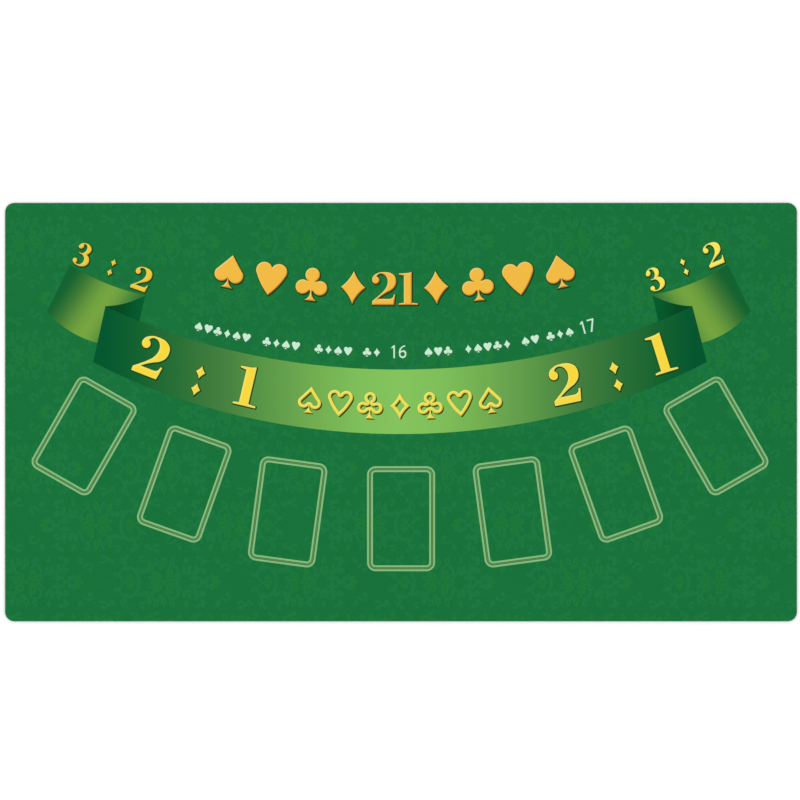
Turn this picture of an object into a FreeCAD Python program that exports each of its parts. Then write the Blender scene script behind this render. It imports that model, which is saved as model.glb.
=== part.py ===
import FreeCAD, Part

import math
import os

import Sketcher

# Blackjack layout mat: a foam rubber sheet and a knitted face cloth, bonded by a hot-melt film and die-cut
# with round corners. The cloth carries a screen-printed table layout: a folded ribbon, seven betting boxes,
# a heading of card suits, a rule line, the odds on the ribbon and the payouts above its tails. Each printed
# device is a thin film of ink and a solid of its own.
#
# Frame: millimetres, +Z up, origin at the middle of the underside. +X runs along the mat's length and +Y
# points to the dealer's side.

SIZES = (
    ("mat_length", 1200.0, "left edge to right edge"),
    ("mat_width", 634.0, "players' edge to dealer's edge"),
    ("corner_radius", 14.0, "die-cut corners"),
    ("rubber_thickness", 2.0, "foam rubber backing"),
    ("adhesive_thickness", 0.1, "hot-melt film under the cloth"),
    ("cloth_thickness", 0.9, "knitted face cloth"),
    ("ink_thickness", 0.1, "one pass of the screen"),
    ("print_axis_x", -1.5, "the print's own centre line on the mat"),
    ("band_near_y", -33.3, "ribbon band: players' edge at the centre"),
    ("band_near_span", 800.0, "ellipse half axis along X of that edge"),
    ("band_near_rise", 585.6, "ellipse half axis along Y of that edge"),
    ("band_near_reach", 465.0, "half length of that edge"),
    ("band_far_y", 64.3, "ribbon band: dealer's edge at the centre"),
    ("band_far_span", 750.0, "ellipse half axis along X of that edge"),
    ("band_far_rise", 493.8, "ellipse half axis along Y of that edge"),
    ("band_far_reach", 444.8, "half length of that edge"),
    ("ribbon_back_x", -1.7, "dealer's edge, folds and tails, off the print's centre line"),
    ("fold_tip_x", 384.0, "tip where the ribbon turns over"),
    ("fold_tip_y", 177.3, "tip where the ribbon turns over"),
    ("fold_foot_x", 393.3, "where the turned ribbon goes behind the band"),
    ("tail_end_far_x", 498.1, "outer end of a tail, dealer's corner"),
    ("tail_end_far_y", 223.5, "outer end of a tail, dealer's corner"),
    ("tail_end_near_x", 533.0, "outer end of a tail, players' corner"),
    ("tail_end_near_y", 152.5, "outer end of a tail, players' corner"),
    ("tail_foot_y", 104.9, "where the tail's lower edge meets the band"),
    ("crease_sag", 4.0, "how far the turned edge of the ribbon bows, along -Y"),
    ("tail_near_sag", 7.0, "how far a tail's lower edge bows, along -Y"),
    ("tail_near_push", 2.0, "how far a tail's lower edge bows outwards"),
    ("tail_far_sag", 6.5, "how far a tail's upper edge bows, along -Y"),
    ("box_width", 103.0, "betting box, outside"),
    ("box_length", 159.0, "betting box, outside"),
    ("box_corner_radius", 13.0, "betting box, outside"),
    ("box_line", 2.8, "width of each of its two lines"),
    ("box_gap", 3.2, "clear cloth between the two lines"),
    ("box_hairline", 1.4, "fine line in the middle of the gap"),
    ("heading_height", 50.0, "suits and numerals of the heading"),
    ("heading_arc_radius", 1215.0, "arc that the heading stands on"),
    ("heading_low_y", 187.3, "middle of the heading on the centre line"),
    ("heading_pitch_angle", 2.97, "degrees from one emblem to the next"),
    ("heading_shift_x", -8.0, "heading and rule line, off the print's centre line"),
    ("rule_arc_radius", 1130.0, "arc of the rule line"),
    ("rule_low_y", 90.0, "middle of the rule line on the centre line"),
    ("rule_pip_height", 13.2, "small suits of the rule line"),
    ("rule_numeral_height", 19.5, "numerals of the rule line"),
    ("rule_pitch_angle", 0.75, "degrees from one small suit to the next"),
    ("rule_numeral_rise", 1.5, "middle of its numerals above the middle of its small suits"),
    ("outline_height", 40.0, "outlined suits on the ribbon"),
    ("outline_stroke", 4.8, "width of their line"),
    ("outline_pitch", 45.5, "one outlined suit to the next"),
    ("outline_arc_radius", 985.0, "arc that they stand on"),
    ("outline_low_y", 9.2, "their middle on the centre line"),
    ("odds_height", 61.0, "numerals on the ribbon"),
    ("payout_height", 36.0, "numerals above the tails"),
    ("shadow_right", 0.6, "drop shadow, along X"),
    ("shadow_down", 0.8, "drop shadow, along -Y"),
    ("shadow_spread", 1.3, "how much wider than its numeral or emblem a shadow is all round"),
    ("outline_shadow_right", 1.5, "drop shadow of the outlined suits, along X"),
    ("outline_shadow_down", 1.7, "drop shadow of the outlined suits, along -Y"),
)

CLOTH_TOP = ("rubber_thickness", "adhesive_thickness", "cloth_thickness")

# A colon is two diamonds: their height, and how far they stand above and below its middle, both as shares
# of the numerals' height.
COLON_DIAMOND = 0.32
COLON_RISE = 0.22

# The seven betting boxes, left to right: middle X, middle Y, and turn about Z in degrees.
BOX_PLACES = (
    (-478.8, -36.2, -29.8),
    (-327.0, -109.1, -19.6),
    (-170.3, -151.3, -7.7),
    (1.6, -161.6, 0.0),
    (170.3, -151.3, 7.7),
    (327.0, -109.1, 19.6),
    (478.8, -36.2, 29.8),
)

HEADING = ("spade", "heart", "club", "diamond", "21", "diamond", "club", "heart", "spade")
OUTLINED = ("spade", "heart", "club", "diamond", "club", "heart", "spade")
SUITS = ("spade", "heart", "club", "diamond")

# The rule line, left to right: the middle of each group from the print's centre line, and how many small
# suits it has, or its numeral.
RULE_LINE = (
    (-269.0, 6), (-180.0, 4), (-101.0, 4), (-42.5, 2), (-1.5, "16"),
    (58.0, 3), (133.0, 5), (197.5, 2), (242.5, 3), (285.0, "17"),
)

# Odds "2 : 1" on the band and payouts "3 : 2" above the tails: the middle of each sign from the print's
# centre line, and how far it leans.
ODDS_LEFT = ((-375.6, 84.4, -21.2), (-306.0, 47.5, -16.5), (-229.8, 39.3, -13.2))
ODDS_RIGHT = ((250.8, 43.4, 11.8), (327.5, 54.0, 14.5), (396.0, 89.8, 17.2))
PAYOUT_LEFT = ((-479.9, 238.1, -24.7), (-437.0, 219.0, -22.3), (-391.0, 201.9, -19.5))
PAYOUT_RIGHT = ((387.1, 201.7, 18.5), (431.0, 220.0, 20.5), (475.3, 239.4, 22.5))


def on_circle(centre, radius, degrees):
    turn = math.radians(degrees)
    return (centre[0] + radius * math.cos(turn), centre[1] + radius * math.sin(turn))


def both_sides(half):
    """Close an outline whose right half is given from top to bottom by adding its mirror image."""
    start, *steps = half
    ends = [start] + [step[-2:] for step in steps]
    turned = []
    for step, target in zip(reversed(steps), reversed(ends[:-1])):
        turned.append(step[:-2] + target)
    if ends[-1][0] > 0:
        turned.insert(0, ends[-1])
    mirror = [tuple(-v if i % 2 == 0 else v for i, v in enumerate(step)) for step in turned]
    return [start] + steps + mirror


# Outlines have a height of 1. The first entry is the starting point; (x, y) is a straight line to that
# point, and (via_x, via_y, x, y) an arc through the first pair to the second. Suits are centred on (0, 0).

def heart_outline():
    lobe = (0.225, 0.235)
    lobe_radius = 0.25
    notch = (0.0, lobe[1] + math.sqrt(lobe_radius ** 2 - lobe[0] ** 2))
    half = [
        notch,
        on_circle(lobe, lobe_radius, 75) + on_circle(lobe, lobe_radius, -20),
        (0.285, -0.165, 0.0, -0.5),
    ]
    return both_sides(half)


def diamond_outline():
    return both_sides([(0.0, 0.5), (0.16, 0.215, 0.37, 0.0), (0.16, -0.215, 0.0, -0.5)])


def spade_outline():
    lobe = (0.215, -0.11)
    lobe_radius = 0.225
    half = [
        (0.0, 0.5),
        (0.245, 0.195) + on_circle(lobe, lobe_radius, 30),
        on_circle(lobe, lobe_radius, -50) + on_circle(lobe, lobe_radius, -152),
        (0.055, -0.385, 0.18, -0.5),
    ]
    return both_sides(half)


def club_outline():
    top = (0.0, 0.28)
    side = (0.262, -0.1)
    leaf_radius = 0.22
    half = [
        (0.0, 0.5),
        on_circle(top, leaf_radius, 15) + on_circle(top, leaf_radius, -58),
        on_circle(side, leaf_radius, 122),
        on_circle(side, leaf_radius, -15) + on_circle(side, leaf_radius, -145),
        (0.03, -0.19),
        (0.06, -0.385, 0.18, -0.5),
    ]
    return both_sides(half)


def arc_from(start, tangent, end):
    """An outline's arc step to end that leaves start along the tangent."""
    chord = end - start
    half_angle = tangent.getAngle(chord) / 2
    bulge = tangent - chord * (tangent.dot(chord) / chord.dot(chord))
    if half_angle < 1e-3:
        return (end.x, end.y)
    via = (start + end) / 2 + bulge.normalize() * (chord.Length / 2 * math.tan(half_angle))
    return (via.x, via.y, end.x, end.y)


def flow(*knots):
    """Outline steps from the first knot through the others, as arcs that run smoothly into each other."""
    points = [FreeCAD.Vector(x, y, 0) for x, y in knots]
    chords = [after - before for before, after in zip(points, points[1:])]
    pulls = [chord / chord.dot(chord) for chord in chords]
    tangents = [(before + after).normalize() for before, after in zip(pulls, pulls[1:])]

    def mirrored(tangent, chord):
        return (chord * (2 * tangent.dot(chord) / chord.dot(chord)) - tangent).normalize()

    tangents = [mirrored(tangents[0], chords[0])] + tangents + [mirrored(tangents[-1], chords[-1])]
    steps = []
    for start, end, chord, leaving, arriving in zip(points, points[1:], chords, tangents, tangents[1:]):
        both_ways = leaving + arriving
        turn = 2 * (1 - leaving.dot(arriving))
        along = chord.dot(both_ways)
        if turn < 1e-6:
            reach = chord.dot(chord) / (2 * along)
        else:
            reach = (math.sqrt(along ** 2 + turn * chord.dot(chord)) - along) / turn
        joint = (start + end + (leaving - arriving) * reach) / 2
        steps.append(arc_from(start, leaving, joint))
        steps.append(arc_from(joint, joint - start - leaving * reach, end))
    return steps


# Numerals stand on y = 0 from x = 0 to their width.
BOLD_ONE = [
    (0.0, 0.0), (0.58, 0.0), (0.58, 0.045), (0.39, 0.065), (0.39, 1.0), (0.27, 0.97), (0.0, 0.955),
    (0.0, 0.915), (0.15, 0.885), (0.15, 0.065), (0.0, 0.045), (0.0, 0.0),
]
BOLD_TWO = [
    (0.02, 0.0), (0.68, 0.0), (0.725, 0.32), (0.672, 0.318),
    *flow((0.672, 0.318), (0.635, 0.22), (0.555, 0.185)),
    (0.20, 0.185),
    *flow((0.20, 0.185), (0.32, 0.28), (0.46, 0.365), (0.62, 0.455), (0.72, 0.57), (0.75, 0.71),
          (0.715, 0.86), (0.59, 0.965), (0.39, 1.0), (0.18, 0.965), (0.05, 0.865), (0.02, 0.765),
          (0.05, 0.68), (0.135, 0.637), (0.222, 0.68), (0.24, 0.765), (0.17, 0.85)),
    *flow((0.17, 0.85), (0.215, 0.92), (0.31, 0.945), (0.41, 0.90), (0.475, 0.80), (0.487, 0.66),
          (0.43, 0.505), (0.30, 0.355), (0.16, 0.23), (0.02, 0.115)),
    (0.02, 0.0),
]
BOLD_THREE = [
    (0.03, 0.79),
    *flow((0.03, 0.79), (0.10, 0.92), (0.29, 1.0), (0.49, 0.955), (0.59, 0.81), (0.565, 0.67),
          (0.47, 0.565)),
    *flow((0.47, 0.565), (0.62, 0.48), (0.69, 0.32), (0.64, 0.14), (0.50, 0.035), (0.30, 0.0),
          (0.13, 0.035), (0.03, 0.135), (0.045, 0.22), (0.125, 0.258), (0.205, 0.215), (0.222, 0.14),
          (0.19, 0.075)),
    *flow((0.19, 0.075), (0.25, 0.05), (0.345, 0.06), (0.44, 0.16), (0.465, 0.30), (0.41, 0.43),
          (0.29, 0.50)),
    (0.16, 0.50), (0.16, 0.54), (0.28, 0.54),
    *flow((0.28, 0.54), (0.365, 0.635), (0.395, 0.77), (0.36, 0.895), (0.275, 0.95), (0.20, 0.92)),
    *flow((0.20, 0.92), (0.235, 0.845), (0.215, 0.755), (0.13, 0.70), (0.05, 0.725), (0.03, 0.79)),
]
PLAIN_ONE = [
    (0.19, 0.0), (0.31, 0.0), (0.31, 1.0), (0.22, 1.0), (0.03, 0.84), (0.08, 0.75), (0.19, 0.84),
    (0.19, 0.0),
]
PLAIN_SEVEN = [
    (0.02, 1.0), (0.56, 1.0), (0.56, 0.91), (0.24, 0.0), (0.10, 0.0), (0.42, 0.88), (0.02, 0.88),
    (0.02, 1.0),
]
PLAIN_SIX = [
    (0.50, 1.0), (0.14, 0.80, 0.03, 0.33), (0.31, 0.0, 0.59, 0.31), (0.38, 0.61, 0.16, 0.50),
    (0.26, 0.78, 0.53, 0.90), (0.50, 1.0),
]
SIX_EYE = {"centre": (0.31, 0.31), "radius": 0.175}

SUIT_OUTLINES = {
    "heart": heart_outline(),
    "diamond": diamond_outline(),
    "spade": spade_outline(),
    "club": club_outline(),
}

# Each numeral with its width, and the gap between two in a row.
BOLD_NUMERALS = {"1": (BOLD_ONE, 0.58), "2": (BOLD_TWO, 0.77), "3": (BOLD_THREE, 0.71)}
PLAIN_NUMERALS = {"1": (PLAIN_ONE, 0.54), "6": (PLAIN_SIX, 0.66), "7": (PLAIN_SEVEN, 0.60)}
DIGIT_GAP = 0.06


def make_sheet(doc):
    sheet = doc.addObject("Spreadsheet::Sheet", "Sizes")
    for row, (alias, value, meaning) in enumerate(SIZES, start=1):
        sheet.set(f"A{row}", alias)
        sheet.set(f"B{row}", str(value))
        sheet.set(f"C{row}", meaning)
        sheet.setAlias(f"B{row}", alias)
    doc.recompute()
    return sheet


doc = FreeCAD.newDocument("BlackjackLayoutMat")
sheet = make_sheet(doc)


def size(alias):
    return float(sheet.get(alias))


def sum_of(aliases):
    return " + ".join("Sizes." + alias for alias in aliases)


def new_body(label, levels):
    """A body named label whose base plane lies on top of the given layers."""
    body = doc.addObject("PartDesign::Body", label)
    body.Label = label
    if levels:
        body.setExpression("Placement.Base.z", sum_of(levels))
    return body


def new_sketch(body, name="outline"):
    base_plane = next(f for f in body.Origin.OriginFeatures if f.Role == "XY_Plane")
    sketch = body.newObject("Sketcher::SketchObject", f"{body.Name}_{name}")
    sketch.AttachmentSupport = (base_plane, [""])
    sketch.MapMode = "FlatFace"
    return sketch


def pad(body, sketch, thickness):
    feature = body.newObject("PartDesign::Pad", sketch.Name + "_pad")
    feature.Profile = sketch
    feature.setExpression("Length", "Sizes." + thickness)
    body.Tip = feature
    return body


def add_rounded_rectangle(sketch, name, length, width, radius):
    """A fully constrained rounded rectangle about the sketch's origin.

    It is drawn at a starting size, and the expressions then give it its own.
    """
    half_x, half_y, corner = 60.0, 40.0, 5.0
    inner_x, inner_y = half_x - corner, half_y - corner
    first = sketch.GeometryCount
    sides = (
        (FreeCAD.Vector(-inner_x, -half_y, 0), FreeCAD.Vector(inner_x, -half_y, 0)),
        (FreeCAD.Vector(half_x, -inner_y, 0), FreeCAD.Vector(half_x, inner_y, 0)),
        (FreeCAD.Vector(inner_x, half_y, 0), FreeCAD.Vector(-inner_x, half_y, 0)),
        (FreeCAD.Vector(-half_x, inner_y, 0), FreeCAD.Vector(-half_x, -inner_y, 0)),
    )
    centres = ((inner_x, -inner_y), (inner_x, inner_y), (-inner_x, inner_y), (-inner_x, -inner_y))
    for start, end in sides:
        sketch.addGeometry(Part.LineSegment(start, end), False)
    for quarter, (x, y) in enumerate(centres):
        circle = Part.Circle(FreeCAD.Vector(x, y, 0), FreeCAD.Vector(0, 0, 1), corner)
        begin = (quarter - 1) * math.pi / 2
        sketch.addGeometry(Part.ArcOfCircle(circle, begin, begin + math.pi / 2), False)
    bottom, right, top, left = range(first, first + 4)
    arcs = range(first + 4, first + 8)
    for side, arc in zip((bottom, right, top, left), arcs):
        following = first + (side - first + 1) % 4
        sketch.addConstraint(Sketcher.Constraint("Tangent", side, 2, arc, 1))
        sketch.addConstraint(Sketcher.Constraint("Tangent", arc, 2, following, 1))
    for side in (bottom, top):
        sketch.addConstraint(Sketcher.Constraint("Horizontal", side))
    for side in (right, left):
        sketch.addConstraint(Sketcher.Constraint("Vertical", side))
    for arc in arcs[1:]:
        sketch.addConstraint(Sketcher.Constraint("Equal", arcs[0], arc))
    sketch.addConstraint(Sketcher.Constraint("Symmetric", arcs[0], 3, arcs[2], 3, -1, 1))
    driven = (
        (Sketcher.Constraint("DistanceX", left, 1, right, 1, 2 * half_x), "length", length),
        (Sketcher.Constraint("DistanceY", bottom, 1, top, 1, 2 * half_y), "width", width),
        (Sketcher.Constraint("Radius", arcs[0], corner), "radius", radius),
    )
    for constraint, kind, expression in driven:
        index = sketch.addConstraint(constraint)
        sketch.renameConstraint(index, f"{name}_{kind}")
        sketch.setExpression(f"Constraints.{name}_{kind}", expression)


def add_outline(sketch, outline, place, height):
    """Draw a closed outline of height 1 at the given height and place."""
    def put(x, y):
        return place.multVec(FreeCAD.Vector(x * height, y * height, 0))

    start, *steps = outline
    here = put(*start)
    for step in steps:
        there = put(*step[-2:])
        if len(step) == 2:
            sketch.addGeometry(Part.LineSegment(here, there), False)
        else:
            sketch.addGeometry(Part.Arc(here, put(*step[:2]), there), False)
        here = there


def add_suit(sketch, suit, place, height):
    add_outline(sketch, SUIT_OUTLINES[suit], place, height)


def add_numeral(sketch, text, style, place, height):
    """Draw a numeral centred on place, its digits side by side."""
    x = -(sum(style[digit][1] for digit in text) + (len(text) - 1) * DIGIT_GAP) / 2
    for digit in text:
        outline, width = style[digit]
        corner = place.multiply(turned_place(x * height, -height / 2, 0))
        add_outline(sketch, outline, corner, height)
        if outline is PLAIN_SIX:
            eye = corner.multVec(FreeCAD.Vector(*SIX_EYE["centre"], 0) * height)
            sketch.addGeometry(Part.Circle(eye, FreeCAD.Vector(0, 0, 1), SIX_EYE["radius"] * height), False)
        x += width + DIGIT_GAP


def add_colon(sketch, place, height):
    for side in (1, -1):
        middle = place.multiply(turned_place(0, side * COLON_RISE * height, 0))
        add_suit(sketch, "diamond", middle, COLON_DIAMOND * height)


def turned_place(x, y, degrees):
    return FreeCAD.Placement(FreeCAD.Vector(x, y, 0), FreeCAD.Rotation(FreeCAD.Vector(0, 0, 1), degrees))


def on_arc(radius, low_y, degrees, shift_x=0.0):
    """A place on an arc that sags to low_y, upright along its spoke."""
    turn = math.radians(degrees)
    x = size("print_axis_x") + shift_x + radius * math.sin(turn)
    y = low_y + radius * (1 - math.cos(turn))
    return turned_place(x, y, degrees)


def ellipse_height(edge, x):
    """Y of the band's near or far edge at a distance x from the print's centre line."""
    span, rise = size(f"band_{edge}_span"), size(f"band_{edge}_rise")
    return size(f"band_{edge}_y") + rise * (1 - math.sqrt(1 - (x / span) ** 2))


def ellipse_arc(edge, start_x, end_x):
    """The band's edge between two distances from the middle of its ellipse, start_x less than end_x."""
    span, rise = size(f"band_{edge}_span"), size(f"band_{edge}_rise")
    point = back_point if edge == "far" else print_point
    middle = point(0, size(f"band_{edge}_y") + rise)
    ellipse = Part.Ellipse(middle, span, rise)
    start_angle = -math.acos(start_x / span)
    end_angle = -math.acos(end_x / span)
    return Part.ArcOfEllipse(ellipse, start_angle, end_angle)


def print_point(x, y, side=1):
    """A point of the print: x is measured from its centre line towards the given side."""
    return FreeCAD.Vector(size("print_axis_x") + side * x, y, 0)


def back_point(x, y, side=1):
    """The same for the dealer's edge, the folds and the tails."""
    return print_point(x, y, side) + FreeCAD.Vector(size("ribbon_back_x"), 0, 0)


def add_edges(sketch, edges):
    for edge in edges:
        sketch.addGeometry(edge, False)


def mat_layer(label, thickness, below):
    body = new_body(label, below)
    sketch = new_sketch(body)
    add_rounded_rectangle(sketch, "mat", "Sizes.mat_length", "Sizes.mat_width", "Sizes.corner_radius")
    return pad(body, sketch, thickness)


def printed_film(label, passes_below, draw):
    """One colour of ink: draw fills its sketch, and passes_below films lie under it."""
    body = new_body(label, CLOTH_TOP + ("ink_thickness",) * passes_below)
    sketch = new_sketch(body)
    draw(sketch)
    return pad(body, sketch, "ink_thickness")


def draw_band(sketch):
    near, far = size("band_near_reach"), size("band_far_reach")
    near_y, far_y = ellipse_height("near", near), ellipse_height("far", far)
    add_edges(sketch, (
        ellipse_arc("near", -near, near),
        Part.LineSegment(print_point(near, near_y), back_point(far, far_y)),
        ellipse_arc("far", -far, far),
        Part.LineSegment(back_point(-far, far_y), print_point(-near, near_y)),
    ))


def fold_crease(side):
    """The edge over which the ribbon turns, from the tip to the band's far corner."""
    tip = back_point(size("fold_tip_x"), size("fold_tip_y"), side)
    corner = back_point(size("band_far_reach"), ellipse_height("far", size("band_far_reach")), side)
    sag = FreeCAD.Vector(0, -size("crease_sag"), 0)
    return Part.Arc(tip, (tip + corner) / 2 + sag, corner)


def draw_fold(side):
    def draw(sketch):
        foot_x, corner_x = size("fold_foot_x"), size("band_far_reach")
        foot = back_point(foot_x, ellipse_height("far", foot_x), side)
        tip = back_point(size("fold_tip_x"), size("fold_tip_y"), side)
        ends = sorted((side * foot_x, side * corner_x))
        add_edges(sketch, (fold_crease(side), Part.LineSegment(tip, foot), ellipse_arc("far", *ends)))
    return draw


def draw_tail(side):
    def draw(sketch):
        corner_x, near_x = size("band_far_reach"), size("band_near_reach")
        tip = back_point(size("fold_tip_x"), size("fold_tip_y"), side)
        corner = back_point(corner_x, ellipse_height("far", corner_x), side)
        band_end = print_point(near_x, ellipse_height("near", near_x), side) - corner
        foot = corner + band_end * ((size("tail_foot_y") - corner.y) / band_end.y)
        end_near = back_point(size("tail_end_near_x"), size("tail_end_near_y"), side)
        end_far = back_point(size("tail_end_far_x"), size("tail_end_far_y"), side)
        near_sag = FreeCAD.Vector(side * size("tail_near_push"), -size("tail_near_sag"), 0)
        far_sag = FreeCAD.Vector(0, -size("tail_far_sag"), 0)
        add_edges(sketch, (
            fold_crease(side),
            Part.LineSegment(corner, foot),
            Part.Arc(foot, (foot + end_near) / 2 + near_sag, end_near),
            Part.LineSegment(end_near, end_far),
            Part.Arc(end_far, (end_far + tip) / 2 + far_sag, tip),
        ))
    return draw


def inset_size(alias, inset):
    return f"Sizes.{alias} - 2 * ({inset})"


def add_frame(body, name, outer_inset, line_width):
    """Pad one closed line of a betting box, set in from the box's outside."""
    sketch = new_sketch(body, name)
    for edge, inset in (("outside", outer_inset), ("inside", f"{outer_inset} + {line_width}")):
        add_rounded_rectangle(
            sketch, edge, inset_size("box_width", inset), inset_size("box_length", inset),
            f"Sizes.box_corner_radius - ({inset})",
        )
    pad(body, sketch, "ink_thickness")


def box_body(label, x, y, degrees):
    body = new_body(label, CLOTH_TOP)
    body.Placement = turned_place(size("print_axis_x") + x, y, degrees)
    body.setExpression("Placement.Base.z", sum_of(CLOTH_TOP))
    return body


def betting_box(number, x, y, degrees):
    """Two closed lines, one inside the other."""
    body = box_body(f"betting_box_{number}", x, y, degrees)
    add_frame(body, "outer_line", "0", "Sizes.box_line")
    add_frame(body, "inner_line", "Sizes.box_line + Sizes.box_gap", "Sizes.box_line")
    return body


def box_hairline(number, x, y, degrees):
    """The fine line in the middle of one betting box's gap."""
    body = box_body(f"hairline_{number}", x, y, degrees)
    inset = "Sizes.box_line + Sizes.box_gap / 2 - Sizes.box_hairline / 2"
    add_frame(body, "hairline", inset, "Sizes.box_hairline")
    return body


def shifted(place, shadow):
    """The place itself, or the place of its shadow: shadow names the sizes that tell how far it drops."""
    if not shadow:
        return place
    drop = FreeCAD.Vector(size(shadow + "_right"), -size(shadow + "_down"), 0)
    return FreeCAD.Placement(place.Base + drop, place.Rotation)


def draw_heading(shadow=""):
    def draw(sketch):
        height = size("heading_height")
        for index, emblem in enumerate(HEADING):
            degrees = (index - (len(HEADING) - 1) / 2) * size("heading_pitch_angle")
            upright = on_arc(
                size("heading_arc_radius"), size("heading_low_y"), degrees, size("heading_shift_x"),
            )
            place = shifted(upright, shadow)
            if emblem in SUIT_OUTLINES:
                add_suit(sketch, emblem, place, height)
            else:
                add_numeral(sketch, emblem, BOLD_NUMERALS, place, height)
    return draw


def rule_place(x, slot=0.0):
    """A place on the rule line's arc at x from the centre line, and slot small suits further along it."""
    radius, shift_x = size("rule_arc_radius"), size("heading_shift_x")
    degrees = math.degrees(math.asin((x - shift_x) / radius)) + slot * size("rule_pitch_angle")
    return on_arc(radius, size("rule_low_y"), degrees, shift_x)


def draw_rule_line(sketch):
    """Groups of small suits, which follow on each other in a fixed order, and numerals."""
    suit_number = 0
    for x, entry in RULE_LINE:
        if isinstance(entry, int):
            for index in range(entry):
                suit = SUITS[suit_number % len(SUITS)]
                add_suit(sketch, suit, rule_place(x, index - (entry - 1) / 2), size("rule_pip_height"))
                suit_number += 1
        else:
            place = rule_place(x).multiply(turned_place(0, size("rule_numeral_rise"), 0))
            add_numeral(sketch, entry, PLAIN_NUMERALS, place, size("rule_numeral_height"))


def offset_film(label, passes_below, draw, offset, fill):
    """Ink whose outline is offset from the sketch that draw fills, or with fill the line between both."""
    sketch = doc.addObject("Sketcher::SketchObject", label + "_sketch")
    draw(sketch)
    outline = doc.addObject("Part::Offset2D", label + "_outline")
    outline.Source = sketch
    outline.Fill = fill
    outline.setExpression("Value", offset)
    film = doc.addObject("Part::Extrusion", label)
    film.Label = label
    film.Base = outline
    film.DirMode = "Custom"
    film.Dir = FreeCAD.Vector(0, 0, 1)
    film.Solid = True
    film.setExpression("LengthFwd", "Sizes.ink_thickness")
    film.setExpression("Placement.Base.z", sum_of(CLOTH_TOP + ("ink_thickness",) * passes_below))
    return film


def outlined_suits(label, passes_below, shadow=""):
    """A row of suits drawn as lines."""
    def draw(sketch):
        radius = size("outline_arc_radius")
        for index, suit in enumerate(OUTLINED):
            x = (index - (len(OUTLINED) - 1) / 2) * size("outline_pitch")
            place = on_arc(radius, size("outline_low_y"), math.degrees(math.asin(x / radius)))
            add_suit(sketch, suit, shifted(place, shadow), size("outline_height"))
    return offset_film(label, passes_below, draw, "-Sizes.outline_stroke", True)


def cast_shadow(label, passes_below, draw):
    return offset_film(label, passes_below, draw, "Sizes.shadow_spread", False)


def draw_ratio(text, height_name, places, shadow):
    """Ratios such as 2 : 1, each sign at a place of its own."""
    def draw(sketch):
        height = size(height_name)
        for sign, (x, y, degrees) in zip(text * (len(places) // len(text)), places):
            place = shifted(turned_place(size("print_axis_x") + x, y, degrees), shadow)
            if sign == ":":
                add_colon(sketch, place, height)
            else:
                add_numeral(sketch, sign, BOLD_NUMERALS, place, height)
    return draw


def draw_odds(places, shadow=""):
    return draw_ratio("2:1", "odds_height", places, shadow)


def draw_payouts(places, shadow=""):
    return draw_ratio("3:2", "payout_height", places, shadow)


def grouped(label, members):
    group = doc.addObject("Part::Compound", label)
    group.Label = label
    group.Links = members
    return group


nodes = [
    mat_layer("rubber_base", "rubber_thickness", ()),
    mat_layer("adhesive_film", "adhesive_thickness", CLOTH_TOP[:1]),
    mat_layer("face_cloth", "cloth_thickness", CLOTH_TOP[:2]),
    printed_film("ribbon_band", 0, draw_band),
    printed_film("ribbon_fold_left", 0, draw_fold(-1)),
    printed_film("ribbon_fold_right", 0, draw_fold(1)),
    printed_film("ribbon_tail_left", 0, draw_tail(-1)),
    printed_film("ribbon_tail_right", 0, draw_tail(1)),
]
for number, place in enumerate(BOX_PLACES, start=1):
    nodes.append(betting_box(number, *place))
hairlines = [box_hairline(number, *place) for number, place in enumerate(BOX_PLACES, start=1)]
nodes += [
    grouped("box_hairlines", hairlines),
    cast_shadow("heading_shadow", 0, draw_heading("shadow")),
    printed_film("heading_emblems", 1, draw_heading()),
    printed_film("rule_line", 0, draw_rule_line),
    outlined_suits("ribbon_emblem_shadow", 1, "outline_shadow"),
    outlined_suits("ribbon_emblems", 2),
    cast_shadow("odds_shadow", 1, draw_odds(ODDS_LEFT + ODDS_RIGHT, "shadow")),
    printed_film("odds_left", 2, draw_odds(ODDS_LEFT)),
    printed_film("odds_right", 2, draw_odds(ODDS_RIGHT)),
    cast_shadow("payout_shadow", 0, draw_payouts(PAYOUT_LEFT + PAYOUT_RIGHT, "shadow")),
    printed_film("payout_left", 1, draw_payouts(PAYOUT_LEFT)),
    printed_film("payout_right", 1, draw_payouts(PAYOUT_RIGHT)),
]
doc.recompute()

for item in doc.Objects:
    if "Invalid" in item.State or "Error" in item.State:
        raise RuntimeError(f"{item.Label} did not compute: {item.State}")
for node in nodes:
    if node.Shape.isNull() or not node.Shape.isValid():
        raise RuntimeError(f"{node.Label} has no valid shape")

os.makedirs("parts", exist_ok=True)
for node in nodes:
    node.Shape.exportStep(f"parts/{node.Label}.step")
    box = node.Shape.BoundBox
    print(f"{node.Label}: {len(node.Shape.Solids)} solids, {node.Shape.Volume:.1f} mm3, "
          f"z {box.ZMin:.2f} to {box.ZMax:.2f}")
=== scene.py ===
import math

import bmesh
import bpy
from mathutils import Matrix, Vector
from mathutils.bvhtree import BVHTree
from mathutils.geometry import delaunay_2d_cdt


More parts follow.
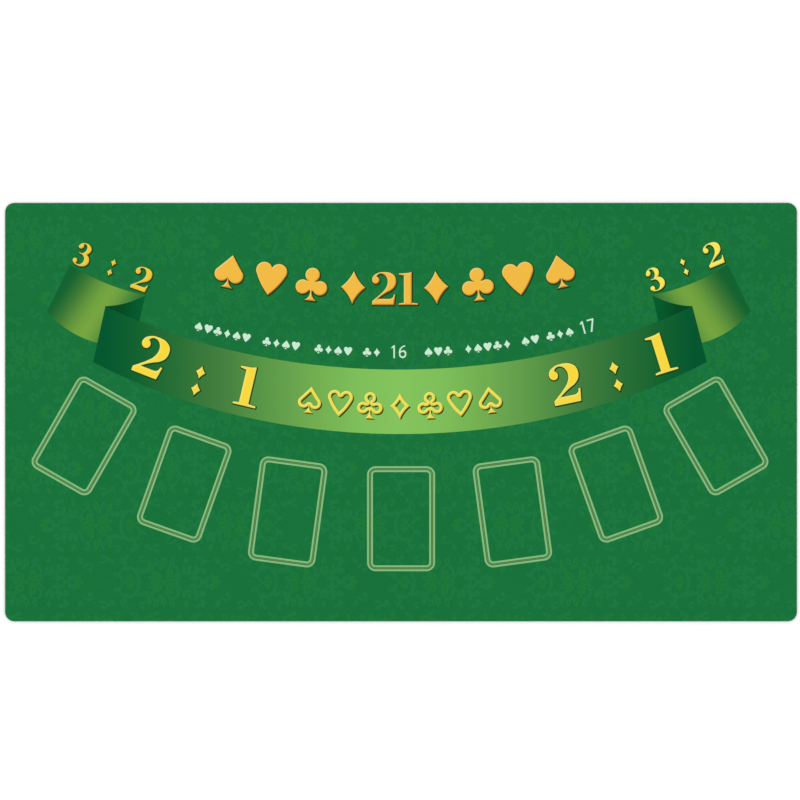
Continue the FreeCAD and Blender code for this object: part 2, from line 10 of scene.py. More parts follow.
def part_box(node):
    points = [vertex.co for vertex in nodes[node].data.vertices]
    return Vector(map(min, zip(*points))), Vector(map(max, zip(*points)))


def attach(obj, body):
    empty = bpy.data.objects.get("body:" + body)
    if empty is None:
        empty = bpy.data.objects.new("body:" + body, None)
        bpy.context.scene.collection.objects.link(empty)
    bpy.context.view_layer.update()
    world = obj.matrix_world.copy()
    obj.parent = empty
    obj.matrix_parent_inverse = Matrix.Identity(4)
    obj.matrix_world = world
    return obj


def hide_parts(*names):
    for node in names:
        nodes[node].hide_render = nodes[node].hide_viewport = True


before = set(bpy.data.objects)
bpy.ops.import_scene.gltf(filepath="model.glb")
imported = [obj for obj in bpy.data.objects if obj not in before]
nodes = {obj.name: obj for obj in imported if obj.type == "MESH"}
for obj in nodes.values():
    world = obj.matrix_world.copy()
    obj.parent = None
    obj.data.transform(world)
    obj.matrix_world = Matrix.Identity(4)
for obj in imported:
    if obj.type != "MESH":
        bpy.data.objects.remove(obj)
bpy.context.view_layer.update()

# Blackjack layout mat: looks. The printed films keep their CAD shapes. The face cloth and the rubber base are
# rebuilt in finer meshes: the cloth with its tone-on-tone ornament, the rubber with its embossed underside.
# Everything is in metres in the row's frame, +Y towards the dealer.

MM = 0.001
CLOTH_LOW, CLOTH_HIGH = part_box("face_cloth")
RUBBER_LOW, RUBBER_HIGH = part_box("rubber_base")
BAND_LOW, BAND_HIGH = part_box("ribbon_band")
HALF_LENGTH = CLOTH_HIGH.x
HALF_WIDTH = CLOTH_HIGH.y
CORNER_RADIUS = 14 * MM
PRINT_AXIS_X = (BAND_LOW.x + BAND_HIGH.x) / 2
TAIL_END_Y = 152.5 * MM  # the players' corner of a tail's outer end
WELD = 2e-6  # vertices closer than this are one
TOUCHING = 1e-6  # a point nearer than this lies on a surface


# ---------------------------------------------------------------- colours

WHITE_LEVEL = 1.1
GLOSS = 0.0035


def seen(red, green, blue):
    """The base colour that reads as these 0 to 255 values under this studio's light.

    A white card reads WHITE_LEVEL there, and the cloth's own gloss adds GLOSS.
    """
    def channel(value):
        value /= 255
        light = value / 12.92 if value <= 0.04045 else ((value + 0.055) / 1.055) ** 2.4
        return max(0.0003, (light - GLOSS) / WHITE_LEVEL)
    return (channel(red), channel(green), channel(blue), 1.0)


GROUND = seen(27, 115, 60)
ORNAMENT_COOL = seen(31, 120, 65)
ORNAMENT_WARM = seen(32, 121, 59)
ORNAMENT_DARK = seen(26, 113, 57)

# Ribbon inks: distance in millimetres, then the colour there. On the band it is the distance from the print's
# centre line, on a tail the distance in from its outer end, on a fold the distance from the band's corner.
BAND_COLOURS = (
    (0, (133, 196, 94)), (60, (128, 192, 92)), (122, (116, 176, 82)), (172, (102, 161, 78)),
    (208, (90, 151, 72)), (260, (72, 131, 66)), (296, (60, 122, 61)), (338, (43, 112, 56)),
    (398, (23, 99, 50)), (445, (4, 88, 50)),
)
TAIL_COLOURS = (
    (0, (24, 100, 51)), (6, (31, 103, 51)), (12, (43, 110, 52)), (22, (62, 121, 55)),
    (32, (83, 135, 59)), (42, (99, 150, 62)), (52, (112, 161, 64)), (63, (119, 165, 66)),
    (71, (114, 163, 66)), (82, (100, 151, 63)), (92, (78, 136, 61)), (103, (52, 120, 58)),
)
# The way across a tail's shading, for the right tail, and how far in each tail's shading starts.
TAIL_SHADING = Vector((-0.829, -0.559, 0.0))
TAIL_SHADING_START = {-1: 0.0, 1: 2.0 * MM}
FOLD_COLOURS = (
    (0, (10, 74, 36)), (22, (3, 74, 38)), (50, (7, 92, 48)), (62, (18, 98, 47)),
)

# Inks of the emblems and large numerals: the fill, then the rim where it is lit and where it is in shade.
EMBOSSED_INKS = {
    "gold_ink": ((241, 187, 70), (232, 212, 134), (160, 92, 30)),
    "lemon_ink": ((238, 222, 84), (246, 238, 140), (196, 160, 46)),
    "bright_yellow_ink": ((250, 217, 64), (236, 232, 124), (228, 220, 100)),
    "deep_yellow_ink": ((238, 202, 56), (222, 216, 122), (190, 168, 62)),
    "clear_yellow_ink": ((252, 232, 88), (230, 232, 138), (208, 196, 82)),
}


# ---------------------------------------------------------------- materials

def start_material(name, colour, roughness, specular):
    material = bpy.data.materials.new(name)
    material.use_nodes = True
    shader = material.node_tree.nodes["Principled BSDF"]
    shader.inputs["Base Color"].default_value = colour
    shader.inputs["Roughness"].default_value = roughness
    shader.inputs["Specular IOR Level"].default_value = specular
    return material, material.node_tree, shader


def place_of(tree):
    """Coordinates in the row's frame: every piece's object sits at the origin."""
    return tree.nodes.new("ShaderNodeTexCoord").outputs["Object"]


def noise(tree, place, scale, detail=2.0, roughness=0.5):
    node = tree.nodes.new("ShaderNodeTexNoise")
    node.inputs["Scale"].default_value = scale
    node.inputs["Detail"].default_value = detail
    node.inputs["Roughness"].default_value = roughness
    tree.links.new(place, node.inputs["Vector"])
    return node.outputs["Fac"]


def ribs(tree, place, pitch, direction):
    """Parallel ribs at the given pitch, across X or Y."""
    node = tree.nodes.new("ShaderNodeTexWave")
    node.wave_type = "BANDS"
    node.bands_direction = direction
    node.inputs["Scale"].default_value = 2 * math.pi / (20 * pitch)
    node.inputs["Distortion"].default_value = 0.6
    node.inputs["Detail"].default_value = 1.0
    node.inputs["Detail Scale"].default_value = 0.4
    tree.links.new(place, node.inputs["Vector"])
    return node.outputs["Fac"]


def maths(tree, operation, *values):
    node = tree.nodes.new("ShaderNodeMath")
    node.operation = operation
    for socket, value in zip(node.inputs, values):
        if isinstance(value, (int, float)):
            socket.default_value = value
        else:
            tree.links.new(value, socket)
    return node.outputs[0]


def shade(tree, colour, factor, low, high):
    """Multiply a colour by a grey that runs from low to high with the factor."""
    span = tree.nodes.new("ShaderNodeMapRange")
    span.inputs["To Min"].default_value = low
    span.inputs["To Max"].default_value = high
    tree.links.new(factor, span.inputs["Value"])
    mix = tree.nodes.new("ShaderNodeVectorMath")
    mix.operation = "SCALE"
    if isinstance(colour, tuple):
        mix.inputs[0].default_value = colour[:3]
    else:
        tree.links.new(colour, mix.inputs[0])
    tree.links.new(span.outputs["Result"], mix.inputs["Scale"])
    return mix.outputs[0]


def knit_height(tree, place):
    """Height of the knit: fine wales and courses with loose fibres over them."""
    wales = ribs(tree, place, 0.9 * MM, "X")
    courses = ribs(tree, place, 0.7 * MM, "Y")
    loops = maths(tree, "MULTIPLY", wales, courses)
    fibres = noise(tree, place, 2600.0, detail=3.0, roughness=0.65)
    return maths(tree, "ADD", loops, maths(tree, "MULTIPLY", fibres, 0.6))


def add_bump(tree, shader, height, strength, distance):
    bump = tree.nodes.new("ShaderNodeBump")
    bump.inputs["Strength"].default_value = strength
    bump.inputs["Distance"].default_value = distance
    tree.links.new(height, bump.inputs["Height"])
    tree.links.new(bump.outputs["Normal"], shader.inputs["Normal"])


def cloth_material(name, colour):
    """Knitted polyester: mottled dye, knit relief with painted shade in its hollows, and a little sheen."""
    material, tree, shader = start_material(name, colour, 0.88, 0.05)
    place = place_of(tree)
    mottle = noise(tree, place, 420.0, detail=4.0, roughness=0.6)
    drift = noise(tree, place, 9.0, detail=2.0)
    height = knit_height(tree, place)
    dyed = shade(tree, colour, mottle, 0.86, 1.14)
    dyed = shade(tree, dyed, drift, 0.96, 1.04)
    # Painted shade: the cloth's colour is darker where the knit is low and lighter where it is high.
    tree.links.new(shade(tree, dyed, height, 0.93, 1.07), shader.inputs["Base Color"])
    shader.inputs["Sheen Weight"].default_value = 0.02
    shader.inputs["Sheen Roughness"].default_value = 0.5
    add_bump(tree, shader, height, 0.35, 0.12 * MM)
    return material


def ink_material(name, colour_from, roughness=0.6, specular=0.02):
    """Screen ink on the knit. colour_from(tree, place) gives the colour; a random grain breaks it up a little,
    and painted shade darkens it where the knit is low.
    """
    material, tree, shader = start_material(name, (1, 1, 1, 1), roughness, specular)
    place = place_of(tree)
    height = knit_height(tree, place)
    grain = noise(tree, place, 900.0, detail=3.0, roughness=0.6)
    colour = colour_from(tree, place)
    colour = shade(tree, colour, grain, 0.95, 1.05)
    # Painted shade: the ink is darker where the knit is low and lighter where it is high.
    tree.links.new(shade(tree, colour, height, 0.97, 1.03), shader.inputs["Base Color"])
    add_bump(tree, shader, height, 0.22, 0.1 * MM)
    return material


def plain(colour):
    return lambda tree, place: colour


def embossed(fill, light, dark):
    """The fill, with the rim's attribute "tone" turning it light above zero and dark below."""
    def colour(tree, place):
        tone = tree.nodes.new("ShaderNodeAttribute")
        tone.attribute_name = "tone"
        ramp = tree.nodes.new("ShaderNodeValToRGB")
        elements = ramp.color_ramp.elements
        elements.new(0.5)
        for element, (position, value) in zip(elements, ((0.0, dark), (0.5, fill), (1.0, light))):
            element.position = position
            element.color = value
        half = maths(tree, "MULTIPLY", tone.outputs["Fac"], 0.5)
        tree.links.new(maths(tree, "ADD", half, 0.5), ramp.inputs["Fac"])
        return ramp.outputs["Color"]
    return colour


def axis_of(tree, place, direction, offset):
    """Distance in metres along a direction from an offset, as a node value."""
    dot = tree.nodes.new("ShaderNodeVectorMath")
    dot.operation = "DOT_PRODUCT"
    dot.inputs[1].default_value = direction
    tree.links.new(place, dot.inputs[0])
    return maths(tree, "SUBTRACT", dot.outputs["Value"], offset)


def graded(tree, distance, stops):
    """A colour ramp over a distance in metres; the stops are in millimetres."""
    reach = stops[-1][0] * MM
    ramp = tree.nodes.new("ShaderNodeValToRGB")
    ramp.color_ramp.interpolation = "LINEAR"
    elements = ramp.color_ramp.elements
    while len(elements) < len(stops):
        elements.new(0.5)
    for element, (millimetres, colour) in zip(elements, stops):
        element.position = millimetres * MM / reach
        element.color = seen(*colour)
    tree.links.new(maths(tree, "DIVIDE", distance, reach), ramp.inputs["Fac"])
    return ramp.outputs["Color"]


def band_colour(tree, place):
    from_axis = maths(tree, "ABSOLUTE", axis_of(tree, place, (1, 0, 0), PRINT_AXIS_X))
    return graded(tree, from_axis, BAND_COLOURS)


def tail_colour(side):
    """The tail darkens towards its outer end and towards its tip."""
    low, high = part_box("ribbon_tail_left" if side < 0 else "ribbon_tail_right")
    inward = Vector((side * TAIL_SHADING.x, TAIL_SHADING.y, 0.0))
    outer_x = low.x if side < 0 else high.x
    end_corner = Vector((outer_x, TAIL_END_Y, 0.0))
    start = inward.dot(end_corner) + TAIL_SHADING_START[side]

    def colour(tree, place):
        return graded(tree, axis_of(tree, place, inward, start), TAIL_COLOURS)
    return colour


def fold_colour(side):
    low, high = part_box("ribbon_fold_left" if side < 0 else "ribbon_fold_right")
    corner_x = low.x if side < 0 else high.x

    def colour(tree, place):
        return graded(tree, axis_of(tree, place, (-side, 0, 0), -side * corner_x), FOLD_COLOURS)
    return colour


def rubber_material():
    """Foam rubber: near black, with fine cells, painted darker in their hollows."""
    colour = seen(38, 38, 40)
    material, tree, shader = start_material("foam_rubber", colour, 0.82, 0.3)
    place = place_of(tree)
    cells = tree.nodes.new("ShaderNodeTexVoronoi")
    cells.inputs["Scale"].default_value = 1500.0
    tree.links.new(place, cells.inputs["Vector"])
    dust = noise(tree, place, 60.0, detail=4.0, roughness=0.6)
    # Painted shade: each cell is darker in its low middle, where the bump dips, and lighter at its raised rim.
    cell_shaded = shade(tree, colour, cells.outputs["Distance"], 0.75, 1.3)
    tree.links.new(shade(tree, cell_shaded, dust, 0.85, 1.2), shader.inputs["Base Color"])
    add_bump(tree, shader, cells.outputs["Distance"], 0.5, 0.15 * MM)
    return material


def adhesive_material():
    colour = seen(205, 196, 160)
    material, tree, shader = start_material("hot_melt", colour, 0.5, 0.4)
    place = place_of(tree)
    lumps = noise(tree, place, 500.0, detail=2.0)
    # Painted shade: the hot melt is darker where its lumps are low, from the same noise as the bump.
    tree.links.new(shade(tree, colour, lumps, 0.85, 1.1), shader.inputs["Base Color"])
    add_bump(tree, shader, lumps, 0.3, 0.05 * MM)
    return material


# ---------------------------------------------------------------- ornament

def leaf(base, direction, length, width, bend=0.0):
    """A pointed leaf whose middle line turns by bend degrees. Returns its outline, anticlockwise."""
    steps = 4
    right, left = [], []
    x, y = base
    for step in range(steps + 1):
        share = step / steps
        heading = math.radians(direction + bend * (share - 0.5))
        half = width / 2 * math.sin(math.pi * share ** 0.8) if 0 < step < steps else 0.0
        across = (math.sin(heading) * half, -math.cos(heading) * half)
        right.append((x + across[0], y + across[1]))
        if half:
            left.append((x - across[0], y - across[1]))
        x += math.cos(heading) * length / steps
        y += math.sin(heading) * length / steps
    return right + left[::-1]


def disc(centre, radius, points=7):
    angles = [2 * math.pi * k / points for k in range(points)]
    return [(centre[0] + radius * math.cos(a), centre[1] + radius * math.sin(a)) for a in angles]


def stem(base, direction, length, width, turn, steps=11):
    """A tapering stem that curls more and more. Returns its outline and the places and headings along it."""
    right, left, along = [], [], []
    x, y = base
    for step in range(steps + 1):
        share = step / steps
        degrees = direction + turn * share ** 1.5
        heading = math.radians(degrees)
        half = width / 2 * (1 - 0.45 * share)
        across = (math.sin(heading) * half, -math.cos(heading) * half)
        right.append((x + across[0], y + across[1]))
        left.append((x - across[0], y - across[1]))
        along.append(((x, y), degrees))
        x += math.cos(heading) * length / steps
        y += math.sin(heading) * length / steps
    return right + left[::-1], along


def tendril(base, direction, length, width, turn):
    """A curled stem that ends in a bud."""
    outline, along = stem(base, direction, length, width, turn)
    return [outline, disc(along[-1][0], width * 0.9)]


def sprig(base, direction, length, turn, pairs, leaf_length):
    """A stem with leaves on both sides that get smaller, and one at its end."""
    outline, along = stem(base, direction, length, 3.2, turn, steps=6)
    shapes = [outline]
    for pair in range(pairs):
        share = (pair + 0.6) / (pairs + 0.4)
        place, heading = along[round(share * (len(along) - 1))]
        reach = leaf_length * (1 - 0.3 * share)
        shapes.append(leaf(place, heading + 48, reach, 0.66 * reach, -30))
        shapes.append(leaf(place, heading - 48, reach, 0.66 * reach, 30))
    place, heading = along[-1]
    return shapes + [leaf(place, heading, leaf_length, leaf_length * 0.64)]


def bloom(centre, petals, length, width, start=90.0):
    shapes = []
    for k in range(petals):
        direction = start + 360 * k / petals
        turn = math.radians(direction)
        foot = (centre[0] + 0.35 * length * math.cos(turn), centre[1] + 0.35 * length * math.sin(turn))
        shapes.append(leaf(foot, direction, length, width))
    return shapes + [disc(centre, 0.3 * length)]


def veined(x, y, direction, length, width, bend=0.0):
    """A broad leaf and its vein, a slimmer leaf for the dark tone."""
    foot = math.radians(direction - bend / 2)
    vein = (x + 0.24 * length * math.cos(foot), y + 0.24 * length * math.sin(foot))
    return leaf((x, y), direction, length, width, bend), leaf(vein, direction, 0.5 * length, 1.6, bend / 2)


def flipped(shapes):
    """Mirror images across the spray's own axis, which runs along X."""
    return [[(x, -y) for x, y in reversed(shape)] for shape in shapes]


def ornament_tile():
    """One spray of the ornament, lying along X: outlines in the cool, the warm and the dark tone.

    In millimetres about the spray's middle.
    """
    cool, warm, dark = [], [], []

    # The heart: broad veined leaves spread like an opening bud.
    for tone, x, y, direction, length, width, bend in (
        (warm, 3, 3, 62, 19, 10.6, 26), (warm, -4, 4, 124, 17, 9.8, -28), (cool, 11, 5, 27, 18, 9.6, 30),
        (warm, 0, 22, 88, 17, 9.8, -24), (cool, -12, 4, 158, 15, 8.8, -24), (cool, 10, 25, 58, 15, 8.8, -34),
        (cool, -10, 25, 122, 14, 8.4, 34),
    ):
        blade, vein = veined(x, y, direction, length, width, bend)
        tone.append(blade)
        dark.append(vein)

    # Above it: leafy sprigs and curls that fan out and back.
    cool += sprig((-17, 15), 138, 13, 60, 1, 10)
    cool += sprig((25, 11), 42, 20, -64, 2, 11)
    cool += tendril((19, 6), 68, 38, 4.4, 245)
    cool += tendril((-14, 10), 128, 32, 4.2, -235)
    cool += tendril((-29, 32), 196, 16, 3.6, -225)
    warm += [leaf((-21, 24), 96, 12, 7.4, -20), leaf((31, 28), 74, 12, 7.4, 20)]

    # Towards the flower: a pair of curls, with leaves along their backs.
    cool += tendril((38, 5), 30, 38, 4.4, -270)
    cool += sprig((44, 15), 62, 12, -84, 1, 10)
    cool += [leaf((56, 12), 40, 12, 7.2, -30), leaf((61, 6), 6, 10, 6.0, 20)]
    warm.append(leaf((47, 8), 96, 9, 5.6, -30))

    # Behind: a round scroll with leaves on its outside.
    ring, _ = stem((-38, 0), 96, 62, 5.2, 255, steps=16)
    cool.append(ring)
    cool += [leaf((-43, 13), 74, 12, 7.2, 30), leaf((-54, 17), 120, 13, 7.6, -30)]
    cool += [leaf((-66, 9), 150, 13, 7.2, -34), leaf((-34, 12), 60, 10, 6.2, -20)]
    warm.append(leaf((-47, 5), 150, 9, 5.6, 20))

    # Small hooks and leaves in the corners fill the ground between one spray and the next.
    cool += tendril((86, 21), 60, 25, 4.2, -250) + [leaf((84, 27), 128, 13, 7.6, 30)]
    cool += tendril((-98, 31), -20, 21, 4.2, 235) + [leaf((-82, 27), 36, 12, 7.4, -30)]
    cool += sprig((-68, 29), 16, 11, 40, 1, 9.5)
    cool += sprig((66, 32), 190, 11, -50, 1, 10)
    warm.append(leaf((-88, 36), -10, 9, 5.6, 20))

    cool += flipped(cool)
    warm += flipped(warm)
    dark += flipped(dark)

    # On the axis: two veined leaves, the flower at the end and a bloom in the scroll.
    for side, length in ((1, 20), (-1, 17)):
        blade, vein = veined(4 * side, 0, 90 - 90 * side, length, 10.0)
        warm.append(blade)
        dark.append(vein)
    for direction, length in ((0, 15), (38, 13), (-38, 13), (80, 11), (-80, 11)):
        turn = math.radians(direction)
        petal = leaf((70 + 2.4 * math.cos(turn), 2.4 * math.sin(turn)), direction, length, 8.2)
        (cool if abs(direction) == 80 else warm).append(petal)
    cool.append(leaf((68, 0), 180, 15, 6.4))
    warm += bloom((-52, 0), 6, 7.0, 5.2, start=0.0)
    cool.append(disc((0, 0), 4.0))
    return cool, warm, dark


# ---------------------------------------------------------------- sheets cut to the mat's outline

def flat_tile(width, depth, groups):
    """Triangulate a rectangle with outlines in it. Returns points and (triangle, group), group 0 the ground."""
    half_x, half_y = width / 2, depth / 2
    points = [(-half_x, -half_y), (0, -half_y), (half_x, -half_y), (half_x, half_y), (0, half_y),
              (-half_x, half_y)]
    faces = [list(range(6))]
    owner = [0]
    for number, group in enumerate(groups, start=1):
        for outline in group:
            faces.append(list(range(len(points), len(points) + len(outline))))
            owner.append(number)
            points += outline
    flat = delaunay_2d_cdt([Vector(p) for p in points], [], faces, 1, 1e-4, True)
    places, triangles, sources = flat[0], flat[2], flat[5]
    return places, [(t, max(owner[i] for i in s)) for t, s in zip(triangles, sources)]


def inside_outline(bm, inset):
    """Cut a flat mesh back to the mat's rounded outline, set in by inset."""
    half_x, half_y, radius = HALF_LENGTH - inset, HALF_WIDTH - inset, CORNER_RADIUS - inset
    for side in (1, -1):
        cut_away(bm, Vector((side * half_x, 0)), Vector((side, 0)))
        cut_away(bm, Vector((0, side * half_y)), Vector((0, side)))
    segments = 10
    step = math.pi / 2 / segments
    for side_x, side_y in ((1, 1), (-1, 1), (-1, -1), (1, -1)):
        centre = Vector((side_x * (half_x - radius), side_y * (half_y - radius)))
        for k in range(segments):
            angle = (k + 0.5) * step
            normal = Vector((side_x * math.cos(angle), side_y * math.sin(angle)))
            cut_away(bm, centre + normal * radius * math.cos(step / 2), normal)


def once(things):
    """Each thing one time, in the order of its first appearance, so that every run builds the same mesh."""
    return list(dict.fromkeys(things))


def cut_away(bm, point, normal):
    """Remove what lies beyond a line in the plan view."""
    beyond = [v for v in bm.verts if (v.co.xy - point).dot(normal) > 0]
    faces = once(f for v in beyond for f in v.link_faces)
    geometry = faces + once(e for f in faces for e in f.edges) + once(v for f in faces for v in f.verts)
    bmesh.ops.bisect_plane(
        bm, geom=geometry, dist=1e-7, plane_co=(*point, 0), plane_no=(*normal, 0), clear_outer=True,
    )


def rim_loop(bm):
    """The vertices round the boundary of an open sheet, in order."""
    edge = next(e for e in bm.edges if len(e.link_faces) == 1)
    loop = [edge.verts[0]]
    vertex = edge.verts[1]
    while vertex is not loop[0]:
        loop.append(vertex)
        edge = next(e for e in vertex.link_edges if len(e.link_faces) == 1 and e is not edge)
        vertex = edge.other_vert(vertex)
    return loop


def outline_place(x, y, from_inset, to_inset):
    """Move a point of the outline set in by from_inset to the one set in by to_inset."""
    radius = CORNER_RADIUS - from_inset
    core_x, core_y = HALF_LENGTH - CORNER_RADIUS, HALF_WIDTH - CORNER_RADIUS
    step = from_inset - to_inset
    if abs(x) > core_x and abs(y) > core_y:
        centre = Vector((math.copysign(core_x, x), math.copysign(core_y, y)))
        return centre + (Vector((x, y)) - centre) * (radius + step) / radius
    if abs(x) > core_x:
        return Vector((x + math.copysign(step, x), y))
    return Vector((x, y + math.copysign(step, y)))


def add_wall(bm, loop, inset, profile, material_index):
    """Carry a rim loop through (inset, z) rings and close the far end with one face."""
    ring = loop
    start = [(v.co.x, v.co.y) for v in loop]
    for to_inset, z in profile:
        following = [bm.verts.new((*outline_place(x, y, inset, to_inset), z)) for x, y in start]
        for k in range(len(ring)):
            n = (k + 1) % len(ring)
            face = bm.faces.new((ring[k], ring[n], following[n], following[k]))
            face.material_index = material_index
        ring = following
    cap = bm.faces.new(ring)
    cap.material_index = material_index
    bmesh.ops.triangulate(bm, faces=[cap])


def rounded(radius, z_face, z_towards, steps=4):
    """(inset, z) rings of a rounded edge between a flat face and the side wall."""
    sign = 1 if z_towards > z_face else -1
    angles = [math.pi / 2 * (k + 1) / steps for k in range(steps)]
    return [(radius * (1 - math.sin(a)), z_face + sign * radius * (1 - math.cos(a))) for a in angles]


def finish_mesh(bm, name, materials):
    bmesh.ops.remove_doubles(bm, verts=bm.verts, dist=WELD)
    bmesh.ops.dissolve_degenerate(bm, edges=bm.edges, dist=1e-6)
    bmesh.ops.recalc_face_normals(bm, faces=bm.faces)
    mesh = bpy.data.meshes.new(name)
    bm.to_mesh(mesh)
    bm.free()
    for material in materials:
        mesh.materials.append(material)
    piece = bpy.data.objects.new(name, mesh)
    bpy.context.scene.collection.objects.link(piece)
    return piece


def lay_tiles(bm, width, depth, first, z, tile):
    """Repeat a tile over the mat, in millimetres. Every other row is half a tile on and faces the other way."""
    places, triangles = tile
    for row in range(-1, math.ceil(2 * HALF_WIDTH / (depth * MM)) + 1):
        facing = -1 if row % 2 else 1
        middle_y = first[1] + row * depth
        if abs(middle_y) - depth / 2 > HALF_WIDTH / MM:
            continue
        for column in range(-4, 5):
            middle_x = first[0] + (column + (row % 2) / 2) * width
            if abs(middle_x) - width / 2 > HALF_LENGTH / MM:
                continue
            verts = [bm.verts.new(((middle_x + facing * p.x) * MM, (middle_y + p.y) * MM, z)) for p in places]
            for triangle, group in triangles:
                corners = [verts[i] for i in triangle]
                face = bm.faces.new(corners if facing > 0 else corners[::-1])
                face.material_index = group
    bmesh.ops.remove_doubles(bm, verts=bm.verts, dist=WELD)


def make_face_cloth():
    """The cloth, with the ornament as faces of its own in the playing surface."""
    repeat_x, repeat_y = 208.2, 86.0
    first_spray = (57.6, -257.7)
    edge_radius = 0.35 * MM
    top, bottom = CLOTH_HIGH.z, CLOTH_LOW.z
    bm = bmesh.new()
    lay_tiles(bm, repeat_x, repeat_y, first_spray, top, flat_tile(repeat_x, repeat_y, ornament_tile()))
    inside_outline(bm, edge_radius)
    add_wall(bm, rim_loop(bm), edge_radius, rounded(edge_radius, top, bottom) + [(0.0, bottom)], 0)
    materials = [
        cloth_material("cloth_ground", GROUND),
        cloth_material("cloth_ornament_cool", ORNAMENT_COOL),
        cloth_material("cloth_ornament_warm", ORNAMENT_WARM),
        cloth_material("cloth_ornament_dark", ORNAMENT_DARK),
    ]
    piece = finish_mesh(bm, "face_cloth_sheet", materials)
    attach(piece, "root")
    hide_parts("face_cloth")


def make_rubber_base():
    """Foam rubber with square anti-slip pads pressed into its underside, inside a flat border."""
    pitch, pad_foot, pad_face = 12.0, 10.4, 9.6
    recess, border, edge_radius = 0.3 * MM, 5.0 * MM, 0.3 * MM
    rings = [(pitch / 2, recess), (pad_foot / 2, recess), (pad_face / 2, 0.0)]
    corners = ((-1, -1), (1, -1), (1, 1), (-1, 1))
    bm = bmesh.new()
    columns = math.ceil(HALF_LENGTH / (pitch * MM))
    rows = math.ceil(HALF_WIDTH / (pitch * MM))
    for row in range(-rows, rows + 1):
        for column in range(-columns, columns + 1):
            squares = []
            for half, z in rings:
                squares.append([
                    bm.verts.new(((column * pitch + cx * half) * MM, (row * pitch + cy * half) * MM, z))
                    for cx, cy in corners
                ])
            for outer, inner in zip(squares, squares[1:]):
                for k in range(4):
                    bm.faces.new((outer[k], outer[(k + 1) % 4], inner[(k + 1) % 4], inner[k]))
            bm.faces.new(squares[-1])
    bmesh.ops.remove_doubles(bm, verts=bm.verts, dist=WELD)
    inside_outline(bm, border)
    rim = rim_loop(bm)
    bottom, top = RUBBER_LOW.z, RUBBER_HIGH.z
    profile = [(border, bottom), (edge_radius, bottom)] + rounded(edge_radius, bottom, top) + [(0.0, top)]
    add_wall(bm, rim, border, profile, 0)
    piece = finish_mesh(bm, "rubber_base_sheet", [rubber_material()])
    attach(piece, "root")
    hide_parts("rubber_base")


def search_tree(faces):
    """Nearest-point search over some faces of a mesh."""
    corners = [v.co.copy() for f in faces for v in f.verts]
    polygons, start = [], 0
    for face in faces:
        polygons.append(range(start, start + len(face.verts)))
        start += len(face.verts)
    return BVHTree.FromPolygons(corners, polygons)


def is_wall(face):
    return abs(face.normal.z) < 0.5


def is_top(face):
    return face.normal.z > 0.5


def set_in(top_tree, wall_tree, edges, inset):
    """Points inside a film's top face at the given distance from its outline, along it and at its corners."""
    meeting = {}
    found = []
    for edge in edges:
        inward = -next(f.normal for f in edge.link_faces if is_wall(f))
        first, last = (v.co for v in edge.verts)
        steps = math.ceil(edge.calc_length() / inset)
        found += [first.lerp(last, k / steps) + inward * inset for k in range(steps + 1)]
        for vertex in edge.verts:
            meeting.setdefault(vertex, []).append(inward)
    for vertex, (one, other) in meeting.items():
        middle = (one + other).normalized()
        found.append(vertex.co + middle * inset / max(middle.dot(one), 0.2))
        found += [vertex.co + one.lerp(other, k / 4).normalized() * inset for k in (1, 2, 3)]
    grain = 0.3 * inset
    kept = {}
    for place in found:
        from_edge = wall_tree.find_nearest(place)[3]
        if top_tree.find_nearest(place)[3] < TOUCHING and abs(from_edge - inset) < 0.02 * inset:
            kept.setdefault((round(place.x / grain), round(place.y / grain)), place)
    return list(kept.values())


def make_embossed(name, rim, material):
    """Rebuild a printed film with a rim round each of its outlines that looks pressed up.

    The rim is light where it faces the upper left and dark where it faces the lower right.
    """
    towards_light = Vector((-0.6, 0.8, 0.0))
    bm = bmesh.new()
    bm.from_mesh(nodes[name].data)
    bmesh.ops.remove_doubles(bm, verts=bm.verts, dist=1e-6)
    top = [f for f in bm.faces if is_top(f)]
    top_tree = search_tree(top)
    wall_tree = search_tree([f for f in bm.faces if is_wall(f)])
    edges = [e for e in bm.edges if {is_wall(f) for f in e.link_faces} == {True, False}
             and any(is_top(f) for f in e.link_faces)]
    verts = once(v for e in edges for v in e.verts)
    index = {v: k for k, v in enumerate(verts)}
    z = verts[0].co.z
    shoulder = set_in(top_tree, wall_tree, edges, 0.3 * rim)
    field = set_in(top_tree, wall_tree, edges, rim)
    points = [v.co for v in verts] + shoulder + field
    links = [(index[e.verts[0]], index[e.verts[1]]) for e in edges]
    flat = delaunay_2d_cdt([p.xy for p in points], links, [], 0, 1e-7, True)
    places, triangles, sources = flat[0], flat[2], flat[3]
    raised = [min(source) < len(verts) + len(shoulder) for source in sources]
    bmesh.ops.delete(bm, geom=top, context="FACES_ONLY")
    tone = bm.loops.layers.float.new("tone")
    corners = [bm.verts.new((p.x, p.y, z)) for p in places]
    for triangle in triangles:
        centre = sum((corners[i].co for i in triangle), Vector()) / 3
        if top_tree.find_nearest(centre)[3] > TOUCHING:
            continue
        face = bm.faces.new([corners[i] for i in triangle])
        for loop, i in zip(face.loops, triangle):
            normal = wall_tree.find_nearest(corners[i].co.lerp(centre, 0.1))[1]
            loop[tone] = normal.dot(towards_light) if raised[i] else 0.0
    loose = [v for v in corners if not v.link_faces]
    bmesh.ops.delete(bm, geom=loose, context="VERTS")
    piece = finish_mesh(bm, name + "_print", [material])
    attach(piece, "root")
    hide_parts(name)


def make_emblems():
    inks = {name: ink_material(name, embossed(*(seen(*colour) for colour in colours)))
            for name, colours in EMBOSSED_INKS.items()}
    for node, rim, slot, ink in (
        ("heading_emblems", 2.4, "gold_ink", "gold_ink"),
        ("ribbon_emblems", 1.9, "yellow_ink", "lemon_ink"),
        ("odds_left", 3.4, "yellow_ink", "bright_yellow_ink"),
        ("odds_right", 3.4, "yellow_ink", "bright_yellow_ink"),
        ("payout_left", 2.2, "yellow_ink", "deep_yellow_ink"),
        ("payout_right", 2.2, "yellow_ink", "clear_yellow_ink"),
    ):
        make_embossed(node, rim * MM, inks[ink])


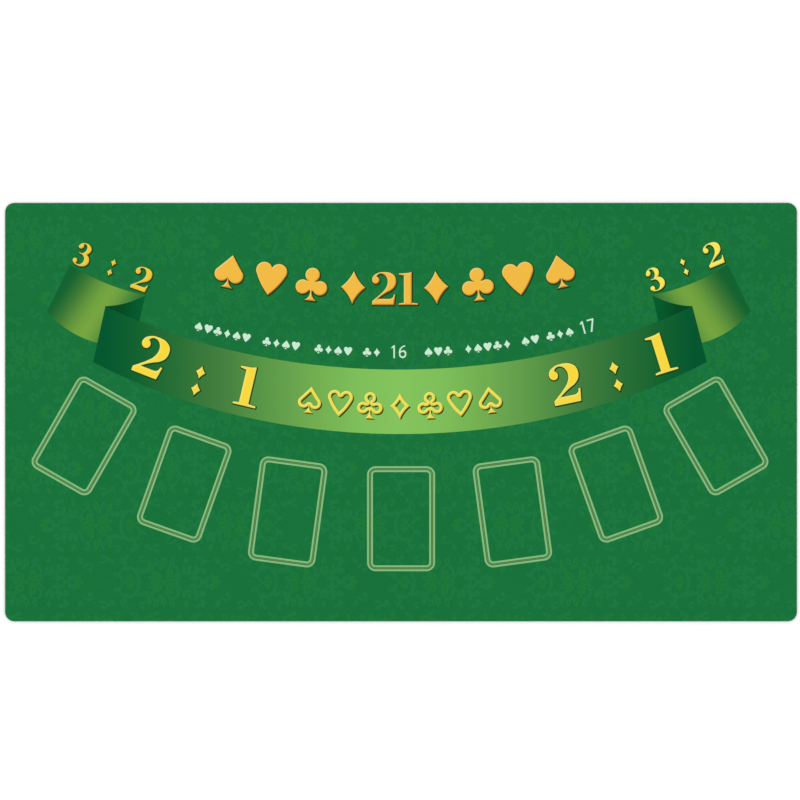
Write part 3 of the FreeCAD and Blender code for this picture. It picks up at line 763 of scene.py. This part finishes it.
def paint_nodes():
    """Give every CAD node that stays its ink."""
    shadow = ink_material("shadow_ink", plain(seen(30, 62, 24)), roughness=0.8)
    pale = ink_material("box_line_ink", plain(seen(135, 190, 131)))
    paints = {
        "adhesive_film": adhesive_material(),
        "ribbon_band": ink_material("band_ink", band_colour),
        "ribbon_tail_left": ink_material("tail_ink_left", tail_colour(-1)),
        "ribbon_tail_right": ink_material("tail_ink_right", tail_colour(1)),
        "ribbon_fold_left": ink_material("fold_ink_left", fold_colour(-1)),
        "ribbon_fold_right": ink_material("fold_ink_right", fold_colour(1)),
        "box_hairlines": ink_material("hairline_ink", plain(seen(112, 140, 76))),
        "rule_line": ink_material("white_ink", plain(seen(202, 234, 210))),
    }
    for name in ("heading_shadow", "ribbon_emblem_shadow", "odds_shadow", "payout_shadow"):
        paints[name] = shadow
    for number in range(1, 8):
        paints[f"betting_box_{number}"] = pale
    for name, material in paints.items():
        mesh = nodes[name].data
        mesh.materials.clear()
        mesh.materials.append(material)


# ---------------------------------------------------------------- studio

def make_floor():
    """A pale floor, a hair below the mat."""
    bm = bmesh.new()
    bmesh.ops.create_grid(bm, x_segments=1, y_segments=1, size=6.0)
    material, _, _ = start_material("studio_floor", (0.95, 0.95, 0.95, 1), 0.9, 0.0)
    floor = finish_mesh(bm, "studio_floor", [material])
    floor.location.z = -0.05 * MM


def make_lights():
    world = bpy.data.worlds.new("studio")
    world.use_nodes = True
    sky = world.node_tree.nodes["Background"]
    sky.inputs["Color"].default_value = (1, 1, 1, 1)
    sky.inputs["Strength"].default_value = 0.86
    bpy.context.scene.world = world
    for name, place, size, power in (
        ("key_softbox", (-1.4, 1.2, 2.6), 2.2, 22.0),
        ("fill_softbox", (1.6, -0.8, 2.4), 2.2, 11.0),
    ):
        light = bpy.data.lights.new(name, "AREA")
        light.shape = "SQUARE"
        light.size = size
        light.energy = power
        lamp = bpy.data.objects.new(name, light)
        lamp.location = place
        lamp.rotation_euler = (-Vector(place)).to_track_quat("-Z", "Y").to_euler()
        bpy.context.scene.collection.objects.link(lamp)


def make_camera():
    """Straight down from high above, framed a little wider than the mat and above its middle."""
    seen_width = 1.2124
    height = 6.0
    aim = Vector((-1.5 * MM, 18.3 * MM, CLOTH_HIGH.z))
    data = bpy.data.cameras.new("camera")
    data.sensor_width = 36.0
    data.lens = data.sensor_width * height / seen_width
    data.clip_end = 50.0
    camera = bpy.data.objects.new("camera", data)
    camera.location = aim + Vector((0, 0, height))
    bpy.context.scene.collection.objects.link(camera)
    bpy.context.scene.camera = camera


make_camera()
make_lights()
make_floor()
bpy.context.scene.view_settings.view_transform = "Standard"
make_face_cloth()
make_rubber_base()
make_emblems()
paint_nodes()
